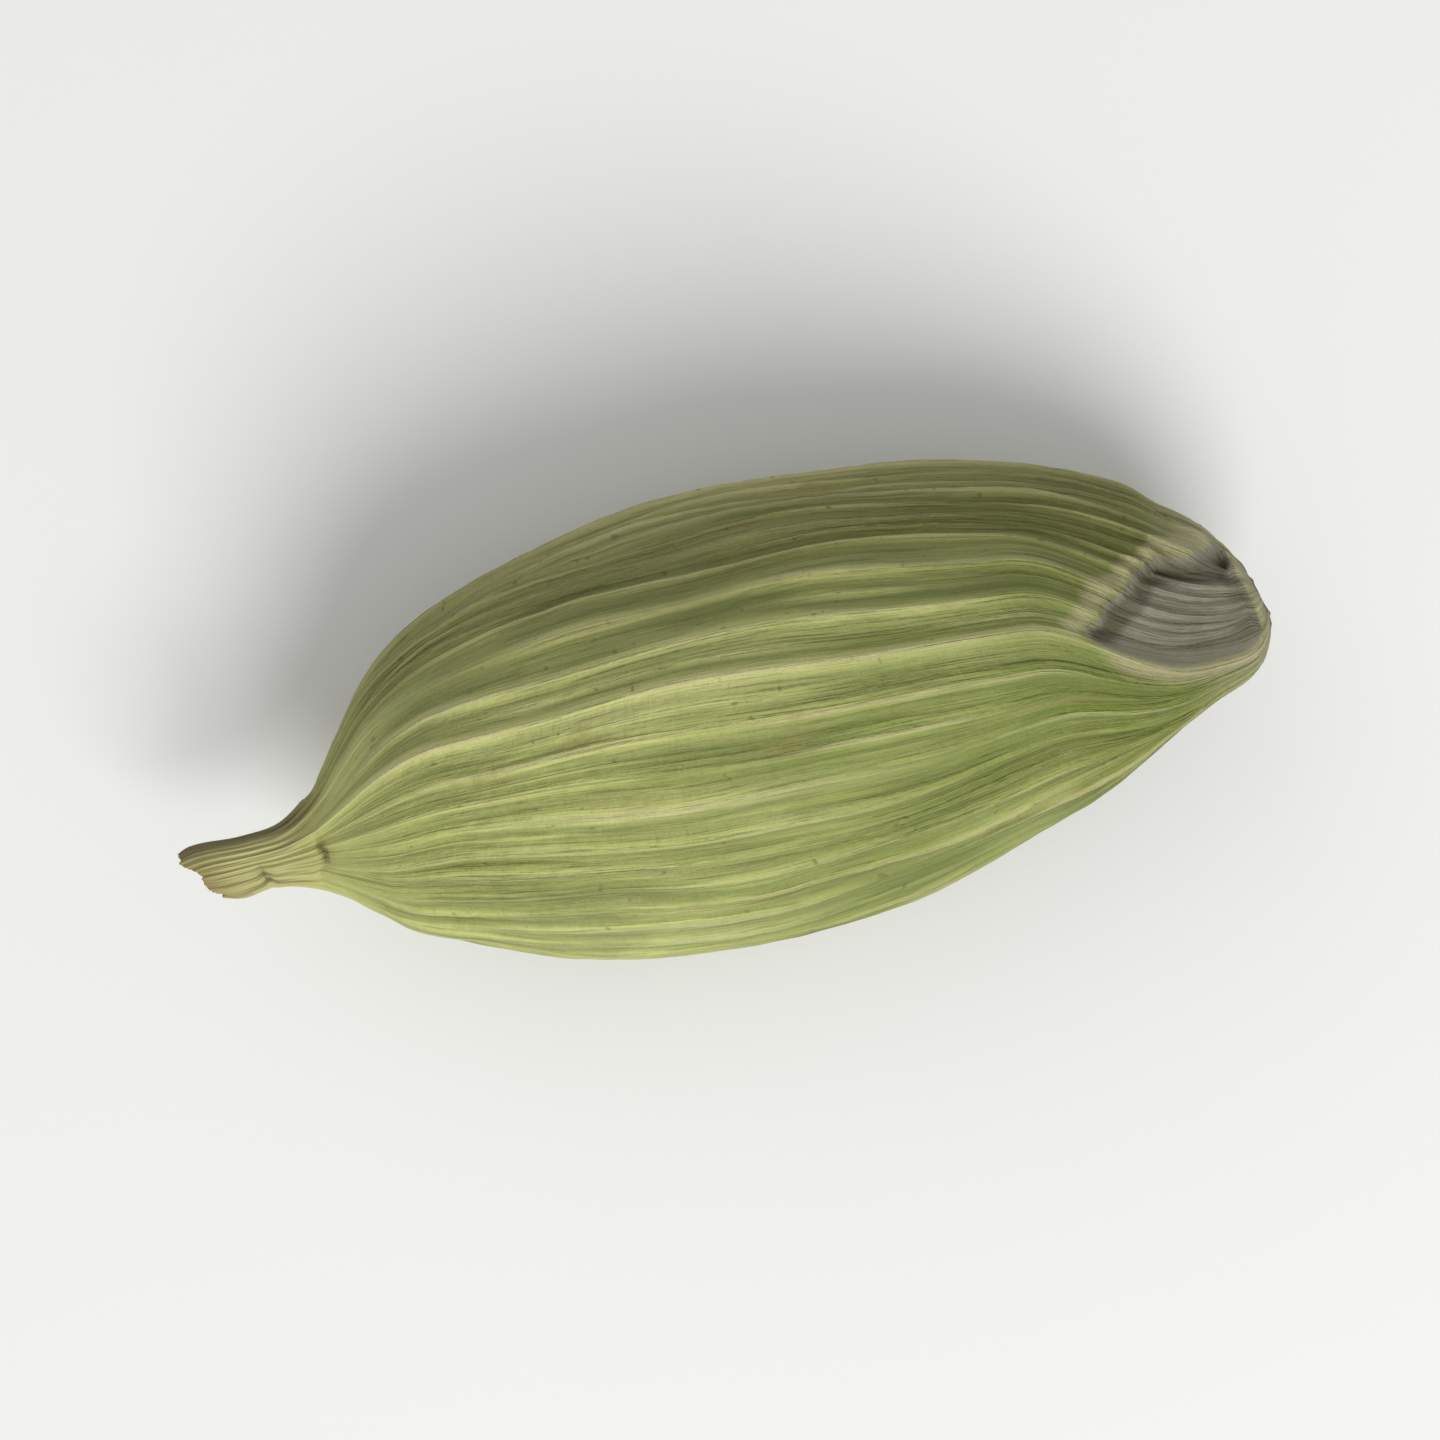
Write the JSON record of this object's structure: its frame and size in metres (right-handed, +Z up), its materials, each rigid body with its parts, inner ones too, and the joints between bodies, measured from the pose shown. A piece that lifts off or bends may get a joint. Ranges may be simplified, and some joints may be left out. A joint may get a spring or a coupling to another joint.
{
  "type": "green cardamom pod",
  "caption": "Dried three-sided spice capsule with fine lengthwise ribs, tapering to a short broken stalk stub; lies on one face.",
  "frame": {"origin": "under the middle of the pod's box, on the surface that it rests on", "axes": "+X from the stalk stub to the blunt end, +Z up out of the resting face, +Y to the side"},
  "size_m": [0.0166, 0.007, 0.0066],
  "materials": {
    "husk": "dry fibrous olive-green husk, satin, browner at the broken stalk"
  },
  "bodies": {
    "root": {"pod": "husk"}
  },
  "joints": []
}
